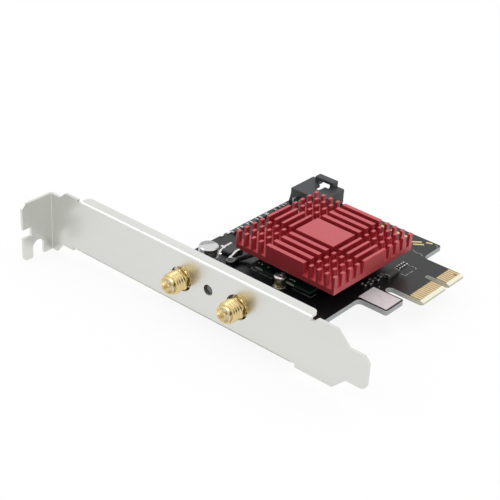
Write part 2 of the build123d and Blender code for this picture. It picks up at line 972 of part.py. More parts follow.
def header_pins():
    """Square pins, level in the housing and bent down through the board."""
    half = pin_size / 2
    pins = []
    for x in pin_places:
        level_low = (x - half, pin_tail_y - half, pin_axis - half)
        level = block(level_low, (x + half, header_mouth - pin_tip_inset, pin_axis + half))
        tip = level.faces().sort_by(Axis.Y)[-1].edges()
        level = chamfer(tip, half / 2)
        foot = (x - half, pin_tail_y - half, board_bottom - pin_tail_below)
        pins.append(level + block(foot, (x + half, pin_tail_y + half, pin_axis + half)))
    return group(pins)


# Capacitor, inductor and chips

def capacitor_can():
    """Aluminium can, grooved near its foot."""
    floor = board_top + can_tab_thick + can_base_thick
    can = post(can_x, can_y, floor, board_top + can_height, can_radius)
    can = chamfer(can.edges().sort_by(Axis.Z)[-1], can_chamfer)
    groove_low = floor + can_groove_rise
    groove_top = groove_low + can_groove_width
    groove = post(can_x, can_y, groove_low, groove_top, can_radius + cut_past)
    return can - (groove - post(can_x, can_y, groove_low, groove_top, can_radius - can_groove_depth))


def capacitor_base():
    """Square base under the can, with two cut corners."""
    half = can_base_size / 2
    floor = board_top + can_tab_thick
    low = (can_x - half, can_y - half, floor)
    base = block(low, (can_x + half, can_y + half, floor + can_base_thick))
    return chamfer(base.edges().filter_by(Axis.Z).group_by(Axis.X)[-1], can_base_chamfer)


def capacitor_tabs():
    """Two flat solder tabs under the capacitor's base."""
    half = can_tab_width / 2
    reach = can_base_size / 2 + can_tab_out
    tabs = []
    for turn in (-1, 1):
        ends = sorted((can_x + turn * reach, can_x + turn * (reach - can_tab_length)))
        low = (ends[0], can_y - half, board_top)
        tabs.append(block(low, (ends[1], can_y + half, board_top + can_tab_thick)))
    return group(tabs)


def inductor_core():
    """Moulded core of the power inductor."""
    half_x = coil_size_x / 2
    half_y = coil_size_y / 2
    low = (coil_x - half_x, coil_y - half_y, board_top)
    core = block(low, (coil_x + half_x, coil_y + half_y, board_top + coil_height))
    return chamfer(core.edges().filter_by(Axis.X), coil_chamfer)


def inductor_ends():
    """Two tinned end bars of the inductor, sloping down to a wider foot towards the bracket."""
    near = coil_y - coil_size_y / 2
    far = coil_y + coil_size_y / 2
    toe = near - coil_foot_length
    top = board_top + coil_end_height
    foot_top = board_top + coil_foot_height
    section = outline(
        (toe, board_top),
        (far, board_top),
        (far, top),
        (near + coil_end_slope, top),
        (toe, foot_top),
    )
    bars = []
    for turn in (-1, 1):
        inner = coil_x + turn * coil_size_x / 2
        outer = inner + turn * coil_end_thick
        edge = outer + turn * coil_foot_out
        bar = across_x(section, min(inner, outer), max(inner, outer))
        foot = block((min(inner, edge), toe, board_top), (max(inner, edge), near, foot_top))
        bars.append(bar + foot)
    return group(bars)


def chip_places():
    """Each small chip's place, size and whether it is turned along Y."""
    row_x = board_left + edge_row_from_left
    places = [(row_x, edge_row_start + i * edge_row_pitch, edge_chip, True) for i in range(edge_row_count)]
    bank_x = board_right - bank_from_right
    places += [(bank_x, bank_start + i * bank_pitch, small_chip, False) for i in range(bank_count)]
    places += [(board_left + inset, y, tiny_chip, False) for inset, y in edge_tail]
    places += [(board_right - inset, y, small_chip, False) for inset, y in single_chips]
    places.append((board_right - wide_chip_from_right, wide_chip_y, wide_chip, True))
    places.append((board_right - power_chip_from_right, power_chip_y, power_chip, True))
    return places


def chip_pieces():
    """Bodies and tinned ends of all small chips."""
    bodies = []
    ends = []
    for x, y, (length, width, height), turned in chip_places():
        middle = length - 2 * chip_end
        spin = Pos(x, y, board_top) * Rot(0, 0, 90 if turned else 0)
        bodies.append(spin * block((-middle / 2, -width / 2, 0), (middle / 2, width / 2, height)))
        for low in (-length / 2, middle / 2):
            ends.append(spin * block((low, -width / 2, 0), (low + chip_end, width / 2, height)))
    return group(bodies), group(ends)


def all_pieces():
    """Every node's name and solid."""
    bodies, ends = chip_pieces()
    pieces = {
        "bracket": bracket(),
        "board_screws": board_screws(),
        "main_board": main_board(),
        "edge_contacts_top": edge_contacts(board_top, first_count + second_count - 2),
        "edge_contacts_bottom": edge_contacts(board_bottom - contact_thick, 0),
        "blank_label": blank_label(),
        "gold_strips": gold_strips(),
        "status_lamp": status_lamp(),
        "lamp_leads": lamp_leads(),
        "module_board": module_board(),
        "module_shield": module_shield(),
        "thermal_pad": thermal_pad(),
        "module_socket": module_socket(),
        "socket_tails": socket_tails(),
        "module_standoff": module_standoff(),
        "module_screw": module_screw(),
        "heatsink": heatsink(),
        "header_housing": header_housing(),
        "header_pins": header_pins(),
        "capacitor_can": capacitor_can(),
        "capacitor_base": capacitor_base(),
        "capacitor_tabs": capacitor_tabs(),
        "inductor_core": inductor_core(),
        "inductor_ends": inductor_ends(),
        "chip_bodies": bodies,
        "chip_ends": ends,
        "board_seats": group([lead_seat(x, y, board_top) for x, y in seat_places.values()]),
        "module_seats": group([lead_seat(x, y, module_top) for x, y in module_seats.values()]),
        "left_board_plug": lead_plug(*seat_places["left"], board_top, lead_out_heading),
        "left_module_plug": lead_plug(*module_seats["left"], module_top, lead_in_heading + 180),
        "left_antenna_lead": antenna_lead(),
    }
    for side, x in jack_places.items():
        pieces[side + "_jack_body"] = jack_body(x)
        pieces[side + "_jack_insulator"] = jack_insulator(x)
        pieces[side + "_jack_contact"] = jack_contact(x)
    return pieces


os.makedirs("parts", exist_ok=True)
to_origin = Pos(*(-value for value in origin))
for name, piece in all_pieces().items():
    export_step(to_origin * piece, f"parts/{name}.step")
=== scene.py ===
"""Looks of the wireless network card: finishes, threads, screws, board marks, light and camera."""
import math
import bmesh
import bpy
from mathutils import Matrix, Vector


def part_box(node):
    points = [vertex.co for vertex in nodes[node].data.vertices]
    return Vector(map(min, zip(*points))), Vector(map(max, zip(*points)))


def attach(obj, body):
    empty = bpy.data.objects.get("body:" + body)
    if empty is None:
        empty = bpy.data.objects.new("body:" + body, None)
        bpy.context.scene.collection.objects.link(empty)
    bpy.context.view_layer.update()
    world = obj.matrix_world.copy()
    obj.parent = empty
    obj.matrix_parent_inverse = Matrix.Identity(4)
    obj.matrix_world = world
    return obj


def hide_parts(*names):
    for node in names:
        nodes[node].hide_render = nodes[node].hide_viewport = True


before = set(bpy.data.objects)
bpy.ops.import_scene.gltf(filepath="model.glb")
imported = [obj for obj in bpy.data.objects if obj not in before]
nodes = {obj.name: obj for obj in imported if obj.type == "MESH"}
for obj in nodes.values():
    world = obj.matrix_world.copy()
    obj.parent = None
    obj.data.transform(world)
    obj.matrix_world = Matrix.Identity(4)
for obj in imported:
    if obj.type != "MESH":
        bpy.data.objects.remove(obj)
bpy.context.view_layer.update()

# Sizes are millimetres in the bracket's own frame, as in the part's source.
# X runs along the bracket from the tab's inner face, Y into the card and Z up from the plate's edge.
MM = 0.001
BRACKET_LOW = Vector((-0.9, -11.43, -3.2))
BOARD_TOP = 4.8
BOARD_BOTTOM = 3.23

# Antenna jacks
JACK_PLACES = {"left": 54.44, "right": 75.47}
JACK_AXIS = 9.5
JACK_STEPS = 168
FRONT = -5.7
BORE = (2.05, 2.3, -3.5)
RIM = (2.6, -4.6)
THREAD_CREST = 3.175
THREAD_ROOT = 2.76
THREAD_PITCH = 0.95
THREAD_END = -1.45
HEX = (3.0, 3.35, -1.2, 0.2)
TEETH = (14, 2.9, 3.12, 1.05, 1.65)
NECK = 2.7
BLOCK = (3.25, 1.6, 8.1, 12.75)
LEG = (0.5, 2.54, 2.23)

# Stage, in metres and degrees, with the box under the card where metal sees the floor's own shade
CAMERA_PLACE = (0.2053, -0.26097, 0.20351)
CAMERA_TURN = (59.775, -2.7582, 40.7791)
CAMERA_LENS = 92.487
CAMERA_SENSOR = 36.0
LIGHT_TARGET = (0, 0, 0.01)
WORLD_LIGHT = 0.92
FLOOR_GLOW = 0.9
FLOOR_HALF = 6
UNDER_MIDDLE = (0.0, -0.0270, 0.0)
UNDER_SIZE = (0.060, 0.0095, 1.0)
DARK_CARD = ((0.35, -0.45, 0.02), (0.75, 0.05, 0.02), (0.75, 0.05, 0.42), (0.35, -0.45, 0.42))

# Grain of the finishes
NOISE_LOW = 0.3
NOISE_HIGH = 0.7
RELIEF_DEPTH = 2e-5

# Edges, in degrees
SHARP_ANGLE = 35
FLAT_ANGLE = 0.5
BEVEL_ANGLE = 40

# Marks
PRINT_RISE = 0.02
SILK_WIDTH = 0.16
GOLD_BAR_WIDTH = 0.8
TRACE_RISE = 0.025
VIA_RADIUS = 0.26

# Screws, as head radius, head height and shank radius
MODULE_SCREW = (1.85, 1.0, 0.95)
BOARD_SCREW = (2.8, 1.8, 1.45)
SCREW_SPREAD = 20.45

# Board places
MASK_END = 102.35
EDGE_FADE = 98.0
TONGUE_SIDE = 44.9
MODULE_TOP = 7.4
MODULE_END = 23.2
CAN = (48.3, 18.4, 10.5, 2.7)
PLUG_TOPS = ((54.0, 21.9, 6.4), (63.65, 27.5, 9.0))
LAMP_LEADS = ((63.53, 7.85), (66.07, 7.85))
HEADER_TAILS = ((43.79, 64.1), (46.33, 64.1), (48.87, 64.1), (51.41, 64.1))

# Antenna lead, as the control points of its line
LEAD_RADIUS = 0.8
LEAD_ROUTE = ((54.62, 24.22, 5.75), (55.53, 27.60, 5.75), (58.82, 28.79, 8.35), (61.33, 28.12, 8.35))

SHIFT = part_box("bracket")[0] - BRACKET_LOW * MM


def at(x, y, z):
    """Point of the bracket's frame, in millimetres, as a point of the card's frame."""
    return SHIFT + Vector((x, y, z)) * MM


# Materials

def finish(name):
    """New material with its node tree and shader."""
    material = bpy.data.materials.new(name)
    material.use_nodes = True
    tree = material.node_tree
    return material, tree, tree.nodes["Principled BSDF"]


def node(tree, kind, sockets=None, **settings):
    """New node with some settings and socket values."""
    made = tree.nodes.new(kind)
    for key, value in settings.items():
        setattr(made, key, value)
    for key, value in (sockets or {}).items():
        made.inputs[key].default_value = value
    return made


def grain(tree, scale, stretch=(1, 1, 1), detail=3.0):
    """Noise in object space, as a factor of about 0.3 to 0.7, with metres times scale."""
    place = node(tree, "ShaderNodeTexCoord")
    mapping = node(tree, "ShaderNodeMapping", {"Scale": stretch})
    noise = node(tree, "ShaderNodeTexNoise", {"Scale": scale, "Detail": detail})
    tree.links.new(place.outputs["Object"], mapping.inputs["Vector"])
    tree.links.new(mapping.outputs["Vector"], noise.inputs["Vector"])
    return noise.outputs["Fac"]


def spread(tree, factor, low, high):
    """Factor of a noise spread over low to high."""
    limits = {"From Min": NOISE_LOW, "From Max": NOISE_HIGH, "To Min": low, "To Max": high}
    made = node(tree, "ShaderNodeMapRange", limits)
    tree.links.new(factor, made.inputs["Value"])
    return made.outputs["Result"]


def colour_between(tree, factor, low, high):
    """Colour between two colours by a factor of 0 to 1."""
    made = node(tree, "ShaderNodeMix", data_type="RGBA")
    made.inputs["A"].default_value = (*low, 1)
    made.inputs["B"].default_value = (*high, 1)
    tree.links.new(factor, made.inputs["Factor"])
    return made.outputs["Result"]


def bumped(tree, shader, height, strength, distance):
    """Fine relief from a height."""
    made = node(tree, "ShaderNodeBump", {"Strength": strength, "Distance": distance})
    tree.links.new(height, made.inputs["Height"])
    tree.links.new(made.outputs["Normal"], shader.inputs["Normal"])


def surface(name, low, high, rough, metal=0.0, scale=900, stretch=(1, 1, 1), relief=0.1, **extra):
    """Grained material: two colours, a range of roughness and a fine relief."""
    material, tree, shader = finish(name)
    factor = grain(tree, scale, stretch)
    colour = colour_between(tree, spread(tree, factor, 0, 1), low, high)
    tree.links.new(colour, shader.inputs["Base Color"])
    tree.links.new(spread(tree, factor, *rough), shader.inputs["Roughness"])
    bumped(tree, shader, grain(tree, scale * 3, stretch), relief, RELIEF_DEPTH)
    shader.inputs["Metallic"].default_value = metal
    for key, value in extra.items():
        shader.inputs[key.replace("_", " ")].default_value = value
    return material


def upward(tree):
    """How far a face looks up or down, from 0 on a side wall to 1 on a level face."""
    shape = node(tree, "ShaderNodeNewGeometry")
    parts = node(tree, "ShaderNodeSeparateXYZ")
    slope = node(tree, "ShaderNodeMath", operation="ABSOLUTE")
    tree.links.new(shape.outputs["True Normal"], parts.inputs["Vector"])
    tree.links.new(parts.outputs["Z"], slope.inputs[0])
    return slope.outputs[0]


def over(tree, value, limit):
    """1 where a value is over a limit and 0 elsewhere."""
    made = node(tree, "ShaderNodeMath", {1: limit}, operation="GREATER_THAN")
    tree.links.new(value, made.inputs[0])
    return made.outputs[0]


def pick(tree, factor, low, high):
    """One of two linked colours, by a factor of 0 or 1."""
    made = node(tree, "ShaderNodeMix", data_type="RGBA")
    tree.links.new(factor, made.inputs["Factor"])
    tree.links.new(low, made.inputs["A"])
    tree.links.new(high, made.inputs["B"])
    return made.outputs["Result"]


def clouds(tree, low, high, scale):
    """Soft clouds between two colours."""
    return colour_between(tree, spread(tree, grain(tree, scale), 0, 1), low, high)


def board_surface():
    """Black solder mask with a faint weave, grey cut edges, a cream bevel and bare laminate."""
    material, tree, shader = finish("board_mask")
    slope = upward(tree)
    level = over(tree, slope, 0.98)
    place = node(tree, "ShaderNodeTexCoord")
    along = node(tree, "ShaderNodeSeparateXYZ")
    tree.links.new(place.outputs["Object"], along.inputs["Vector"])
    bare = over(tree, along.outputs["X"], at(MASK_END, 0, 0).x)
    limits = {"From Min": at(EDGE_FADE, 0, 0).x, "From Max": at(MASK_END, 0, 0).x}
    fade = node(tree, "ShaderNodeMapRange", limits)
    tongue = node(tree, "ShaderNodeMath", operation="MULTIPLY")
    tree.links.new(along.outputs["X"], fade.inputs["Value"])
    tree.links.new(fade.outputs["Result"], tongue.inputs[0])
    tree.links.new(over(tree, along.outputs["Y"], at(0, TONGUE_SIDE, 0).y), tongue.inputs[1])
    walls = pick(tree, tongue.outputs[0], clouds(tree, (0.34, 0.36, 0.36), (0.43, 0.45, 0.45), 2000),
                 clouds(tree, (0.50, 0.47, 0.36), (0.60, 0.56, 0.44), 2000))
    bevel = clouds(tree, (0.70, 0.68, 0.55), (0.80, 0.78, 0.64), 1500)
    edges = pick(tree, over(tree, slope, 0.5), walls, bevel)
    top = pick(tree, bare, clouds(tree, (0.0025, 0.003, 0.0035), (0.005, 0.0055, 0.006), 500),
               clouds(tree, (0.20, 0.15, 0.07), (0.27, 0.21, 0.11), 1500))
    tree.links.new(pick(tree, level, edges, top), shader.inputs["Base Color"])
    rough = node(tree, "ShaderNodeMapRange", {"To Min": 0.7, "To Max": 0.3})
    tree.links.new(level, rough.inputs["Value"])
    tree.links.new(rough.outputs["Result"], shader.inputs["Roughness"])
    weave = node(tree, "ShaderNodeTexChecker", {"Scale": 1600})
    tree.links.new(place.outputs["Object"], weave.inputs["Vector"])
    bumped(tree, shader, weave.outputs["Fac"], 0.03, 1e-5)
    shader.inputs["Specular IOR Level"].default_value = 0.40
    return material


def module_surface():
    """Dark green solder mask with paler cut edges."""
    material, tree, shader = finish("module_green")
    top = clouds(tree, (0.0008, 0.005, 0.003), (0.0015, 0.009, 0.006), 900)
    edge = clouds(tree, (0.008, 0.014, 0.011), (0.014, 0.022, 0.018), 2500)
    tree.links.new(pick(tree, over(tree, upward(tree), 0.9), edge, top), shader.inputs["Base Color"])
    tree.links.new(spread(tree, grain(tree, 1500), 0.25, 0.4), shader.inputs["Roughness"])
    bumped(tree, shader, grain(tree, 3000), 0.05, 1e-5)
    return material


steel = surface("bracket_steel", (0.71, 0.715, 0.68), (0.74, 0.745, 0.71), (0.27, 0.33), 1.0, 60,
                stretch=(0.3, 2, 2), relief=0.02)
screw_steel = surface("screw_steel", (0.58, 0.58, 0.57), (0.70, 0.70, 0.69), (0.18, 0.30), 1.0, 1200)
gold = surface("gold_plate", (0.73, 0.57, 0.27), (0.77, 0.61, 0.32), (0.19, 0.25), 1.0, 700, relief=0.02)
# Paler copy of the jack's gold for the inside of its bore: painted light that lifts the bore's own shade
# and the deeper colour of its inner bounces.
bore_painted_light_gold = surface("bore_painted_light_gold", (0.90, 0.80, 0.56), (0.93, 0.84, 0.62), (0.26, 0.34), 1.0, 700,
                    relief=0.02)
contact_gold = surface("contact_gold", (0.68, 0.52, 0.29), (0.76, 0.59, 0.35), (0.22, 0.32), 1.0, 900)
tinned = surface("tinned_metal", (0.60, 0.60, 0.59), (0.74, 0.74, 0.73), (0.22, 0.38), 1.0, 1500)
nickel = surface("plug_nickel", (0.06, 0.06, 0.065), (0.10, 0.10, 0.105), (0.38, 0.52), 1.0, 1500)
brass = surface("standoff_brass", (0.48, 0.42, 0.28), (0.60, 0.54, 0.38), (0.25, 0.38), 1.0, 1500)
can_metal = surface("can_aluminium", (0.60, 0.60, 0.60), (0.68, 0.68, 0.68), (0.26, 0.36), 1.0, 800)
red = surface("red_aluminium", (0.44, 0.028, 0.042), (0.51, 0.038, 0.054), (0.38, 0.48), 0.6, 2500,
              relief=0.12, Coat_Weight=0.85, Coat_Roughness=0.36, Coat_IOR=1.5)
black = surface("black_plastic", (0.020, 0.022, 0.024), (0.034, 0.037, 0.040), (0.42, 0.55), 0.0, 1800)
white = surface("white_insulator", (0.80, 0.77, 0.74), (0.88, 0.86, 0.83), (0.40, 0.50), 0.0, 900)
label = surface("label_film", (0.57, 0.515, 0.53), (0.64, 0.59, 0.60), (0.38, 0.50), 0.1, 1200)
jacket = surface("lead_jacket", (0.008, 0.009, 0.011), (0.016, 0.018, 0.021), (0.34, 0.46), 0.0, 1500)
ceramic = surface("chip_ceramic", (0.035, 0.033, 0.031), (0.07, 0.065, 0.06), (0.45, 0.6), 0.0, 2500)
lamp = surface("lamp_clear", (0.13, 0.13, 0.135), (0.30, 0.30, 0.31), (0.10, 0.18), 0.0, 1100,
               Transmission_Weight=0.3)
pad = surface("pad_grey", (0.16, 0.17, 0.19), (0.24, 0.25, 0.27), (0.7, 0.85), 0.0, 1500)
ink = surface("silk_ink", (0.36, 0.37, 0.37), (0.50, 0.51, 0.51), (0.5, 0.65), 0.0, 4000)
grey_ink = surface("can_ink", (0.26, 0.26, 0.27), (0.36, 0.36, 0.37), (0.4, 0.5), 0.0, 3000)
# Pale greenish colour for two bars on the module's front edge: a painted highlight of the lit edge.
module_edge_highlight_paint = surface("module_edge_painted_highlight", (0.15, 0.19, 0.17), (0.22, 0.27, 0.24), (0.4, 0.55), 0.0, 3000)
rim = surface("plug_rim", (0.20, 0.20, 0.20), (0.32, 0.32, 0.32), (0.30, 0.42), 1.0, 1500)
pale_dot = surface("module_dots", (0.46, 0.54, 0.51), (0.58, 0.66, 0.62), (0.4, 0.55), 0.0, 3000)
trace = surface("board_traces", (0.008, 0.009, 0.010), (0.014, 0.015, 0.016), (0.28, 0.36), 0.0, 900)
mask = board_surface()
green = module_surface()


# Shapes, each as a list of points and a list of faces

def joined(shapes):
    """Several shapes as one."""
    points, faces = [], []
    for some_points, some_faces in shapes:
        first = len(points)
        points += some_points
        faces += [[first + i for i in face] for face in some_faces]
    return points, faces


def skin(rings, start_cap=True, end_cap=True):
    """Skin over rings that have the same number of points."""
    count = len(rings[0])
    faces = []
    for a in range(0, count * (len(rings) - 1), count):
        for i in range(count):
            j = (i + 1) % count
            faces.append([a + i, a + j, a + count + j, a + count + i])
    last = count * (len(rings) - 1)
    if start_cap:
        faces.append(list(range(count)))
    if end_cap:
        faces.append(list(range(last, last + count)))
    return [p for ring in rings for p in ring], faces


def turned(x, y, profile, steps=48):
    """Upright turned shape from pairs of radius and height."""
    rings = []
    for radius, z in profile:
        turns = [2 * math.pi * i / steps for i in range(steps)]
        rings.append([at(x + radius * math.cos(a), y + radius * math.sin(a), z) for a in turns])
    return skin(rings)


def brick(low, high, edge=0.0, segments=2):
    """Block between two corners, with its edges rounded by a small bevel."""
    shape = bmesh.new()
    bmesh.ops.create_cube(shape, size=1.0)
    for vert in shape.verts:
        vert.co = Vector((b if c > 0 else a for a, b, c in zip(low, high, vert.co)))
    if edge:
        bmesh.ops.bevel(shape, geom=shape.edges[:], offset=edge, segments=segments, profile=0.5,
                        affect="EDGES")
    shape.verts.index_update()
    points = [at(*vert.co) for vert in shape.verts]
    faces = [[vert.index for vert in face.verts] for face in shape.faces]
    shape.free()
    return points, faces


def stroke(points, width, z, thick=PRINT_RISE):
    """Flat line through places on the board, with square ends."""
    shapes = []
    for (x0, y0), (x1, y1) in zip(points, points[1:]):
        length = math.hypot(x1 - x0, y1 - y0)
        u = Vector(((x1 - x0) / length, (y1 - y0) / length))
        a = Vector((x0, y0)) - u * width / 2
        b = Vector((x1, y1)) + u * width / 2
        side = Vector((-u.y, u.x)) * width / 2
        loop = (a + side, b + side, b - side, a - side)
        shapes.append(skin([[at(p.x, p.y, level) for p in loop] for level in (z, z + thick)]))
    return joined(shapes)


def piece(name, shape, material, angle=SHARP_ANGLE):
    """New piece of the card, from a shape in the card's frame."""
    mesh = bpy.data.meshes.new(name)
    mesh.from_pydata(shape[0], [], shape[1])
    made = bmesh.new()
    made.from_mesh(mesh)
    bmesh.ops.recalc_face_normals(made, faces=made.faces)
    made.to_mesh(mesh)
    made.free()
    mesh.materials.append(material)
    mesh.shade_smooth()
    mesh.set_sharp_from_angle(angle=math.radians(angle))
    thing = bpy.data.objects.new(name, mesh)
    bpy.context.scene.collection.objects.link(thing)
    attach(thing, "root")
    return thing


def carve(thing, cutter):
    """Cuts one piece's shape out of another and removes the cutter."""
    change = thing.modifiers.new("cut", "BOOLEAN")
    change.object = cutter
    change.solver = "EXACT"
    seen = thing.evaluated_get(bpy.context.evaluated_depsgraph_get())
    result = bpy.data.meshes.new_from_object(seen)
    thing.modifiers.clear()
    thing.data = result
    bpy.data.objects.remove(cutter)
    result.set_sharp_from_angle(angle=math.radians(SHARP_ANGLE))


# Finishes of the solids, with small round edges in millimetres

def dress(name, material, edge=0.0, segments=2):
    """Finish for one CAD node, and a bevel by modifiers, which leave its own mesh as it is."""
    thing = nodes[name]
    thing.data.materials.clear()
    thing.data.materials.append(material)
    if edge:
        join = thing.modifiers.new("join", "WELD")
        join.merge_threshold = 1e-6
        flat = thing.modifiers.new("flat", "DECIMATE")
        flat.decimate_type = "DISSOLVE"
        flat.angle_limit = math.radians(FLAT_ANGLE)
        bevel = thing.modifiers.new("edges", "BEVEL")
        bevel.width = edge * MM
        bevel.segments = segments
        bevel.limit_method = "ANGLE"
        bevel.angle_limit = math.radians(BEVEL_ANGLE)
        bevel.use_clamp_overlap = True
        normals = thing.modifiers.new("normals", "WEIGHTED_NORMAL")
        normals.weight = 80


dress("bracket", steel, 0.1)
dress("main_board", mask)
dress("edge_contacts_top", contact_gold)
dress("edge_contacts_bottom", contact_gold)
dress("blank_label", label)
dress("gold_strips", gold)
dress("status_lamp", lamp)
dress("lamp_leads", tinned, 0.08)
dress("module_board", green)
dress("module_shield", tinned)
dress("thermal_pad", pad, 0.1)
dress("module_socket", black, 0.1)
dress("socket_tails", tinned)
dress("module_standoff", brass)
dress("heatsink", red, 0.1)
dress("header_housing", black, 0.1)
dress("header_pins", tinned, 0.05)
dress("capacitor_can", can_metal)
dress("capacitor_base", black, 0.1)
dress("capacitor_tabs", tinned)
dress("inductor_core", black, 0.15)
dress("inductor_ends", tinned, 0.1)
dress("chip_bodies", ceramic, 0.08)
dress("chip_ends", tinned, 0.08)
dress("board_seats", nickel)
dress("module_seats", nickel)
dress("left_board_plug", nickel)
dress("left_module_plug", nickel)
for side in JACK_PLACES:
    dress(side + "_jack_insulator", white)
    dress(side + "_jack_contact", gold)


# Antenna jacks

def hexagon(turn, flat):
    """Radius of a hexagon with a corner up, at an angle."""
    return flat / math.cos((turn + math.pi / 6) % (math.pi / 3) - math.pi / 6)


def thread_radius(turn, y):
    """Radius of the screw thread at an angle and a place along the axis."""
    phase = (y / THREAD_PITCH + turn / (2 * math.pi)) % 1.0
    rise = 0.5 - 0.5 * math.cos(2 * math.pi * phase)
    full = THREAD_ROOT + (THREAD_CREST - THREAD_ROOT) * rise
    return min(full, RIM[0] + 0.1 + max(0.0, y - RIM[1]) * 1.1)


def jack_rings(x):
    """Rings of the turned jack, from its bore round the rim, along the thread and back to the block."""
    turns = [2 * math.pi * i / JACK_STEPS for i in range(JACK_STEPS)]
    hex_flat, hex_corner, hex_front, hex_rear = HEX
    count, tooth_low, tooth_high, tooth_front, tooth_rear = TEETH

    def ring(y, radius):
        spots = [(a, radius(a) if callable(radius) else radius) for a in turns]
        return [at(x + r * math.cos(a), y, JACK_AXIS + r * math.sin(a)) for a, r in spots]

    def tooth(turn):
        return tooth_high if (turn * count / (2 * math.pi)) % 1.0 < 0.5 else tooth_low

    def nut(limit):
        return lambda turn: min(hexagon(turn, hex_flat), limit)

    inner, bore, bore_floor = BORE
    rim, rim_rear = RIM
    rings = [ring(bore_floor, inner), ring(bore_floor, bore - 0.04), ring(bore_floor - 0.04, bore)]
    rings += [ring(FRONT + 0.06, bore), ring(FRONT + 0.02, bore + 0.02), ring(FRONT, bore + 0.07)]
    rings += [ring(FRONT, rim - 0.13), ring(FRONT + 0.04, rim - 0.04), ring(FRONT + 0.12, rim)]
    rings += [ring(rim_rear - 0.22, rim), ring(rim_rear - 0.16, rim - 0.1), ring(rim_rear, rim - 0.1)]
    step = THREAD_PITCH / 14
    for i in range(round((THREAD_END - rim_rear) / step) + 1):
        y = rim_rear + i * step
        rings.append(ring(y, lambda turn, y=y: thread_radius(turn, y)))
    rings += [ring(THREAD_END + 0.03, THREAD_ROOT), ring(hex_front, THREAD_ROOT)]
    rings.append(ring(hex_front, hex_flat - 0.06))
    rises = (0.0, 0.1, 0.2, hex_corner - hex_flat)
    rings += [ring(hex_front + 0.06 + 0.5 * rise, nut(hex_flat + rise)) for rise in rises]
    rings += [ring(hex_rear - 0.06 - 0.5 * rise, nut(hex_flat + rise)) for rise in reversed(rises)]
    rings += [ring(hex_rear, hex_flat - 0.06), ring(hex_rear, NECK), ring(tooth_front, NECK)]
    rings += [ring(tooth_front, tooth_low - 0.05), ring(tooth_front, tooth), ring(tooth_rear, tooth)]
    return rings


def jack(side):
    """Threaded jack with its hexagon, notched lock ring, block and legs."""
    x = JACK_PLACES[side]
    half, front, rear, top = BLOCK
    leg, leg_spread, leg_tip = LEG
    middle = (front + rear) / 2
    shapes = [skin(jack_rings(x), start_cap=False)]
    shapes.append(brick((x - half, front, BOARD_TOP), (x + half, rear, top), 0.3, 3))
    for u in (-leg_spread, leg_spread):
        for v in (middle - leg_spread, middle + leg_spread):
            low = (x + u - leg, v - leg, leg_tip)
            high = (x + u + leg, v + leg, BOARD_TOP + 0.4)
            shapes.append(brick(low, high, 0.12))
    made = piece(side + "_jack_turned", joined(shapes), gold, 50)
    # Faces inside the bore take the paler gold copy, painted light against the bore's shade.
    made.data.materials.append(bore_painted_light_gold)
    for face in made.data.polygons:
        spot = (face.center - SHIFT) / MM
        if math.hypot(spot.x - x, spot.z - JACK_AXIS) < BORE[1] + 0.05 and spot.y < BORE[2] + 0.1:
            face.material_index = 1
    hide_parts(side + "_jack_body")


# Screws

def cross_screw(name, x, y, seat, radius, height, shank, tip):
    """Pan head screw with a cross recess and a plain shank."""
    dome = [(radius * 0.97, seat), (radius, seat + 0.06), (radius, seat + height * 0.45)]
    crown = ((0.97, 0.4), (0.88, 0.7), (0.7, 0.88), (0.45, 0.97), (0.2, 1.0))
    dome += [(radius * c, seat + height * (0.45 + 0.55 * s)) for c, s in crown]
    shape = [(0.02, tip), (shank * 0.8, tip), (shank, tip + 0.25), (shank, seat)]
    screw = piece(name, turned(x, y, shape + dome + [(0.02, seat + height)]), screw_steel)
    arm = radius * 0.62
    width = radius * 0.13
    floor = seat + height * 0.35
    bars = [brick((x - arm, y - width, floor), (x + arm, y + width, seat + height + 1))]
    bars.append(brick((x - width, y - arm, floor), (x + width, y + arm, seat + height + 1)))
    for bar in bars:
        carve(screw, piece("recess", bar, screw_steel))
    return screw


def centre_of(name):
    """Middle of a CAD node's box in the bracket's frame, with its lowest and highest level."""
    low, high = [(corner - SHIFT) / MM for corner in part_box(name)]
    return (low + high) / 2, low.z, high.z


def screws():
    """Module screw and the two board screws."""
    middle, tip, top = centre_of("module_screw")
    radius, height, shank = MODULE_SCREW
    seat = top - height
    made = cross_screw("module_cross_screw", middle.x, middle.y, seat, radius, height, shank, tip)
    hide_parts("module_screw")
    middle, tip, top = centre_of("board_screws")
    for side, turn in (("left", -1), ("right", 1)):
        x = middle.x + turn * SCREW_SPREAD
        made = cross_screw(side + "_board_screw", x, middle.y, BOARD_TOP, *BOARD_SCREW, tip)
        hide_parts("board_screws")


# Lead

def lead():
    """Coaxial lead on a smooth line through its route."""
    line = bpy.data.curves.new("left_lead", "CURVE")
    line.dimensions = "3D"
    line.bevel_depth = LEAD_RADIUS * MM
    line.bevel_resolution = 6
    line.use_fill_caps = True
    spline = line.splines.new("NURBS")
    spline.points.add(len(LEAD_ROUTE) - 1)
    for point, place in zip(spline.points, LEAD_ROUTE):
        point.co = (*at(*place), 1)
    spline.order_u = 3
    spline.use_endpoint_u = True
    line.materials.append(jacket)
    thing = bpy.data.objects.new("left_lead", line)
    bpy.context.scene.collection.objects.link(thing)
    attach(thing, "root")
    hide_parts("left_antenna_lead")


# Marks and solder on the board

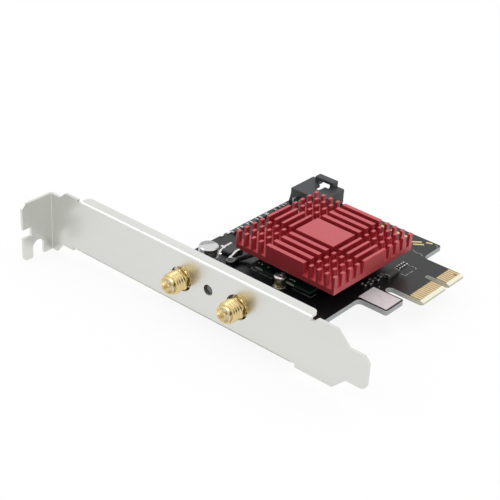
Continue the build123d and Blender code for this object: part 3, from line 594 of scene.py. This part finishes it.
def silk_marks():
    """Pale printed lines on the board's top."""
    lines = [
        ((59.8, 26.6), (59.8, 24.5), (62.0, 24.5)),
        ((63.4, 24.5), (68.0, 24.5)),
        ((75.6, 24.5), (82.4, 24.5), (82.4, 27.0)),
        ((91.2, 59.9), (92.2, 59.9)),
        ((92.8, 59.9), (93.7, 59.9)),
        ((94.2, 59.9), (94.8, 59.9), (94.8, 59.2)),
        ((94.8, 57.8), (94.8, 56.4)),
        ((94.8, 55.6), (94.8, 54.0), (93.2, 54.0)),
        ((91.0, 48.8), (91.0, 50.2)),
        ((91.4, 51.0), (91.4, 53.0)),
        ((40.9, 32.5), (40.9, 33.1)),
        ((41.0, 34.5), (41.0, 35.0)),
        ((87.7, 68.3), (89.4, 67.6), (90.7, 68.2), (91.9, 67.2)),
        ((91.2, 75.7), (92.0, 75.7), (92.0, 75.0)),
        ((54.1, 24.3), (53.8, 28.3)),
        ((41.0, 35.6), (41.0, 36.4)),
        ((41.0, 40.2), (41.0, 40.9)),
        ((41.0, 44.6), (41.0, 45.4)),
        ((41.0, 47.8), (41.0, 48.6)),
        ((41.0, 52.4), (41.0, 53.2)),
        ((48.3, 29.7), (48.5, 29.7)),
        ((45.4, 27.3), (45.8, 27.3)),
        ((49.4, 21.0), (49.9, 21.0)),
        ((93.0, 43.1), (93.0, 43.7)),
    ]
    return joined([stroke(line, SILK_WIDTH, BOARD_TOP) for line in lines])


def gold_marks():
    """Bare gold bars near the rear corner."""
    bars = [
        ((84.6, 72.4), (86.6, 74.0)),
        ((86.0, 71.6), (88.0, 73.2)),
        ((88.4, 75.2), (89.5, 75.7)),
    ]
    return joined([stroke(bar, GOLD_BAR_WIDTH, BOARD_TOP, 0.03) for bar in bars])


def module_dots():
    """Pale dots along the module's front edge."""
    dots = [(60.04, 25.2), (62.1, 25.3), (63.35, 25.2), (65.77, 25.3)]
    dots += [(74.42, 24.7), (75.09, 24.8), (76.09, 24.7)]
    top = MODULE_TOP + 0.03
    return joined([turned(x, y, [(0.24, MODULE_TOP), (0.24, top), (0.02, top)], 16) for x, y in dots])


def module_edge_highlight_bars():
    """Pale bars on the module's front edge, a painted highlight where the edge catches the light."""
    low, high = MODULE_TOP - 0.7, MODULE_TOP - 0.08
    front, rear = MODULE_END - 0.05, MODULE_END + 0.02
    spans = ((62.6, 65.2), (74.3, 77.1))
    return joined([brick((a, front, low), (b, rear, high), 0.02) for a, b in spans])


def can_mark():
    """Grey segment on the can's top, on the side of its negative lead."""
    x, y, top, radius = CAN
    turns = [math.radians(75 + 150 * i / 24) for i in range(25)]
    arc = [(x + radius * math.cos(a), y + radius * math.sin(a)) for a in turns]
    return skin([[at(u, v, level) for u, v in arc] for level in (top, top + PRINT_RISE)])


def plug_dimple_shades():
    """Dark disc on the top of each plug, painted shade of its round dimple."""
    shapes = []
    for x, y, top in PLUG_TOPS:
        crown = top + PRINT_RISE
        shapes.append(turned(x, y, [(0.85, top), (0.85, crown), (0.02, crown)], 24))
    return joined(shapes)


def plug_rings():
    """Bright turned rim on the top of each plug."""
    shapes = []
    for x, y, top in PLUG_TOPS:
        rings = [(1.0, top), (1.0, top + 0.05), (1.25, top + 0.05), (1.25, top)]
        shapes.append(turned(x, y, rings, 32))
    return joined(shapes)


def edge_parts():
    """Small pale parts along the board's left edge."""
    shapes = []
    for x, y in ((40.9, 32.8), (41.2, 35.6), (41.2, 38.2)):
        shapes.append(brick((x - 0.4, y - 0.6, BOARD_TOP), (x + 0.4, y + 0.6, BOARD_TOP + 0.4), 0.08))
    return joined(shapes)


def standoff_pad():
    """Solder ring at the foot of the module's standoff."""
    middle = centre_of("module_standoff")[0]
    ring = [(1.82, BOARD_TOP), (1.98, BOARD_TOP), (1.95, BOARD_TOP + 0.06), (1.82, BOARD_TOP + 0.1)]
    return turned(middle.x, middle.y, ring, 32)


def coil_solder():
    """Solder at the coil's feet and two small pads beside it."""
    shapes = []
    for x, y, radius in ((47.2, 24.8, 1.0), (51.7, 24.5, 0.9), (47.8, 30.35, 0.35)):
        dome = [(radius, BOARD_TOP), (radius * 0.85, BOARD_TOP + 0.16), (radius * 0.5, BOARD_TOP + 0.28)]
        shapes.append(turned(x, y, dome + [(0.02, BOARD_TOP + 0.32)], 20))
    shapes.append(brick((44.8, 27.6, BOARD_TOP), (45.8, 28.5, BOARD_TOP + 0.3), 0.08))
    return joined(shapes)


def via(x, y, low, high):
    """Small plated hole, seen as a disc."""
    return turned(x, y, [(VIA_RADIUS, low), (VIA_RADIUS, high), (0.02, high)], 12)


def board_traces():
    """Faint raised lines under the mask, on the board's underside."""
    shapes = []
    for i in range(9):
        y = 48.2 + i * 1.0
        bend = 94.0 - i * 0.45
        route = ((98.6, y), (bend + 2.0, y), (bend, y + 2.0 + i * 0.25), (84.0, y + 2.0 + i * 0.25))
        shapes.append(stroke(route, 0.2, BOARD_BOTTOM - TRACE_RISE, TRACE_RISE))
    for i in range(6):
        x = 58.0 + i * 1.2
        y = 36.0 - i * 1.1
        route = ((x, 14.0), (x, y), (x + 8.0, y + 8.0), (x + 8.0, 58.0))
        shapes.append(stroke(route, 0.2, BOARD_BOTTOM - TRACE_RISE, TRACE_RISE))
    for i, (x, _) in enumerate(HEADER_TAILS):
        route = ((x, 62.8), (x, 56.0 - i * 1.6), (x + 6.0, 50.0 - i * 1.6), (x + 6.0, 40.0))
        shapes.append(stroke(route, 0.3, BOARD_BOTTOM - TRACE_RISE, TRACE_RISE))
    return joined(shapes)


def board_vias():
    """Plated holes beside the traces, on the underside."""
    places = [(84.0, 50.2 + i * 1.25) for i in range(9)]
    places += [(66.0 + i * 1.2, 58.6) for i in range(6)]
    places += [(58.0 + i * 1.2, 13.4) for i in range(6)]
    places += [(49.79 + i * 2.54, 39.4) for i in range(4)]
    places += [(44.0 + i * 6.2, 69.0) for i in range(8)]
    places += [(44.0 + i * 6.2, 32.0 + 2.0 * (i % 2)) for i in range(2)]
    return joined([via(x, y, BOARD_BOTTOM - 0.03, BOARD_BOTTOM) for x, y in places])


def solder_cone(x, y, radius=0.95):
    """Fillet of solder round a leg under the board."""
    steps = ((1.0, 0.0), (0.92, 0.12), (0.62, 0.45), (0.5, 0.85))
    profile = [(radius * share, BOARD_BOTTOM - drop) for share, drop in steps]
    return turned(x, y, profile + [(0.05, BOARD_BOTTOM - 0.95)], 24)


def solder_joints():
    """Solder on every leg that comes through the board."""
    middle = (BLOCK[1] + BLOCK[2]) / 2
    legs = (-LEG[1], LEG[1])
    cones = []
    for x in JACK_PLACES.values():
        cones += [solder_cone(x + u, middle + v, 1.15) for u in legs for v in legs]
        cones.append(solder_cone(x, middle))
    cones += [solder_cone(x, y, 0.8) for x, y in LAMP_LEADS + HEADER_TAILS]
    return joined(cones)


for side in JACK_PLACES:
    jack(side)
lead()
screws()
piece("silk_marks", silk_marks(), ink)
piece("gold_marks", gold_marks(), gold)
piece("module_dots", module_dots(), pale_dot)
# Painted highlight on the module's front edge.
piece("module_edge_highlight_bars", module_edge_highlight_bars(), module_edge_highlight_paint)
piece("can_mark", can_mark(), grey_ink)
# Black discs on the plug tops: painted shade of their dimples.
piece("plug_dimple_shades", plug_dimple_shades(), black)
piece("plug_rings", plug_rings(), rim)
piece("edge_parts", edge_parts(), white)
piece("standoff_pad", standoff_pad(), tinned)
piece("coil_solder", coil_solder(), tinned)
piece("board_traces", board_traces(), trace)
piece("board_vias", board_vias(), contact_gold)
piece("solder_joints", solder_joints(), tinned)


# Camera, light and floor

def camera():
    """Camera at the photograph's place."""
    lens = bpy.data.cameras.new("photo_camera")
    lens.lens = CAMERA_LENS
    lens.sensor_width = CAMERA_SENSOR
    thing = bpy.data.objects.new("photo_camera", lens)
    thing.location = CAMERA_PLACE
    thing.rotation_euler = [math.radians(a) for a in CAMERA_TURN]
    bpy.context.scene.collection.objects.link(thing)
    bpy.context.scene.camera = thing


def softbox(name, place, target, size, power):
    """Square lamp that faces a point."""
    lamp_data = bpy.data.lights.new(name, "AREA")
    lamp_data.size = size
    lamp_data.energy = power
    thing = bpy.data.objects.new(name, lamp_data)
    thing.location = place
    thing.rotation_euler = (Vector(target) - Vector(place)).to_track_quat("-Z", "Y").to_euler()
    bpy.context.scene.collection.objects.link(thing)


def floor():
    """Pale floor, lit mostly from itself where it is seen, so that it keeps a faint shadow on white."""
    material, tree, shader = finish("floor_paper")
    tree.links.new(clouds(tree, (0.80, 0.80, 0.80), (0.82, 0.82, 0.82), 3), shader.inputs["Base Color"])
    shader.inputs["Roughness"].default_value = 0.9
    shader.inputs["Specular IOR Level"].default_value = 0.0
    glow = node(tree, "ShaderNodeEmission", {"Color": (1, 1, 1, 1), "Strength": 1.0})
    both = node(tree, "ShaderNodeMixShader")
    share = node(tree, "ShaderNodeMapRange", {"To Min": 0.0, "To Max": FLOOR_GLOW})
    tree.links.new(background_rays(tree, outside_card(tree)), share.inputs["Value"])
    tree.links.new(share.outputs["Result"], both.inputs["Fac"])
    tree.links.new(shader.outputs["BSDF"], both.inputs[1])
    tree.links.new(glow.outputs["Emission"], both.inputs[2])
    tree.links.new(both.outputs["Shader"], tree.nodes["Material Output"].inputs["Surface"])
    half = FLOOR_HALF
    flat_stage("floor", [(-half, -half, 0), (half, -half, 0), (half, half, 0), (-half, half, 0)], material)


def flat_stage(name, points, material):
    """Flat sheet of the stage."""
    mesh = bpy.data.meshes.new(name)
    mesh.from_pydata(points, [], [(0, 1, 2, 3)])
    mesh.materials.append(material)
    thing = bpy.data.objects.new(name, mesh)
    bpy.context.scene.collection.objects.link(thing)
    return thing


def dark_card():
    """Dark card beside the camera, seen only in polished metal."""
    material = surface("card", (0.012, 0.012, 0.012), (0.02, 0.02, 0.02), (0.8, 0.9), 0.0, 20)
    card = flat_stage("dark_card", DARK_CARD, material)
    card.visible_camera = False
    card.visible_diffuse = False
    card.visible_shadow = False


def outside_card(tree):
    """0 on the floor under the card, where metal sees its shadow, and 1 outside."""
    place = node(tree, "ShaderNodeTexCoord")
    box = {"Location": UNDER_MIDDLE, "Scale": UNDER_SIZE}
    mapping = node(tree, "ShaderNodeMapping", box, vector_type="TEXTURE")
    parts = node(tree, "ShaderNodeSeparateXYZ")
    sides = [node(tree, "ShaderNodeMath", operation="ABSOLUTE") for axis in "XY"]
    far = node(tree, "ShaderNodeMath", operation="MAXIMUM")
    edge = node(tree, "ShaderNodeMapRange", {"From Min": 0.9, "From Max": 1.0})
    tree.links.new(place.outputs["Object"], mapping.inputs["Vector"])
    tree.links.new(mapping.outputs["Vector"], parts.inputs["Vector"])
    for i, axis in enumerate("XY"):
        tree.links.new(parts.outputs[axis], sides[i].inputs[0])
        tree.links.new(sides[i].outputs[0], far.inputs[i])
    tree.links.new(far.outputs[0], edge.inputs["Value"])
    return edge.outputs["Result"]


def background_rays(tree, metal_share=None):
    """1 for rays of the camera and of glass, a share for those of metal, and 0 for the rest."""
    path = node(tree, "ShaderNodeLightPath")
    seen = node(tree, "ShaderNodeMath", operation="MAXIMUM")
    more = node(tree, "ShaderNodeMath", operation="MAXIMUM")
    metal = node(tree, "ShaderNodeMath", {1: 1.0}, operation="MULTIPLY")
    tree.links.new(path.outputs["Is Glossy Ray"], metal.inputs[0])
    if metal_share:
        tree.links.new(metal_share, metal.inputs[1])
    tree.links.new(path.outputs["Is Camera Ray"], seen.inputs[0])
    tree.links.new(metal.outputs[0], seen.inputs[1])
    tree.links.new(seen.outputs[0], more.inputs[0])
    tree.links.new(path.outputs["Is Transmission Ray"], more.inputs[1])
    return more.outputs[0]


def studio():
    """White surroundings, at full white where the camera, metal or glass sees them."""
    world = bpy.data.worlds.new("studio")
    bpy.context.scene.world = world
    world.use_nodes = True
    tree = world.node_tree
    ground = tree.nodes["Background"]
    ground.inputs["Color"].default_value = (1, 1, 1, 1)
    level = node(tree, "ShaderNodeMapRange", {"To Min": WORLD_LIGHT, "To Max": 1.0})
    tree.links.new(background_rays(tree), level.inputs["Value"])
    tree.links.new(level.outputs["Result"], ground.inputs["Strength"])


camera()
floor()
dark_card()
studio()
softbox("key_light", (-0.42, -0.40, 0.55), LIGHT_TARGET, size=0.32, power=0.7)
softbox("top_light", (0.10, 0.25, 0.80), LIGHT_TARGET, size=0.6, power=2.0)
bpy.context.scene.view_settings.view_transform = "Standard"
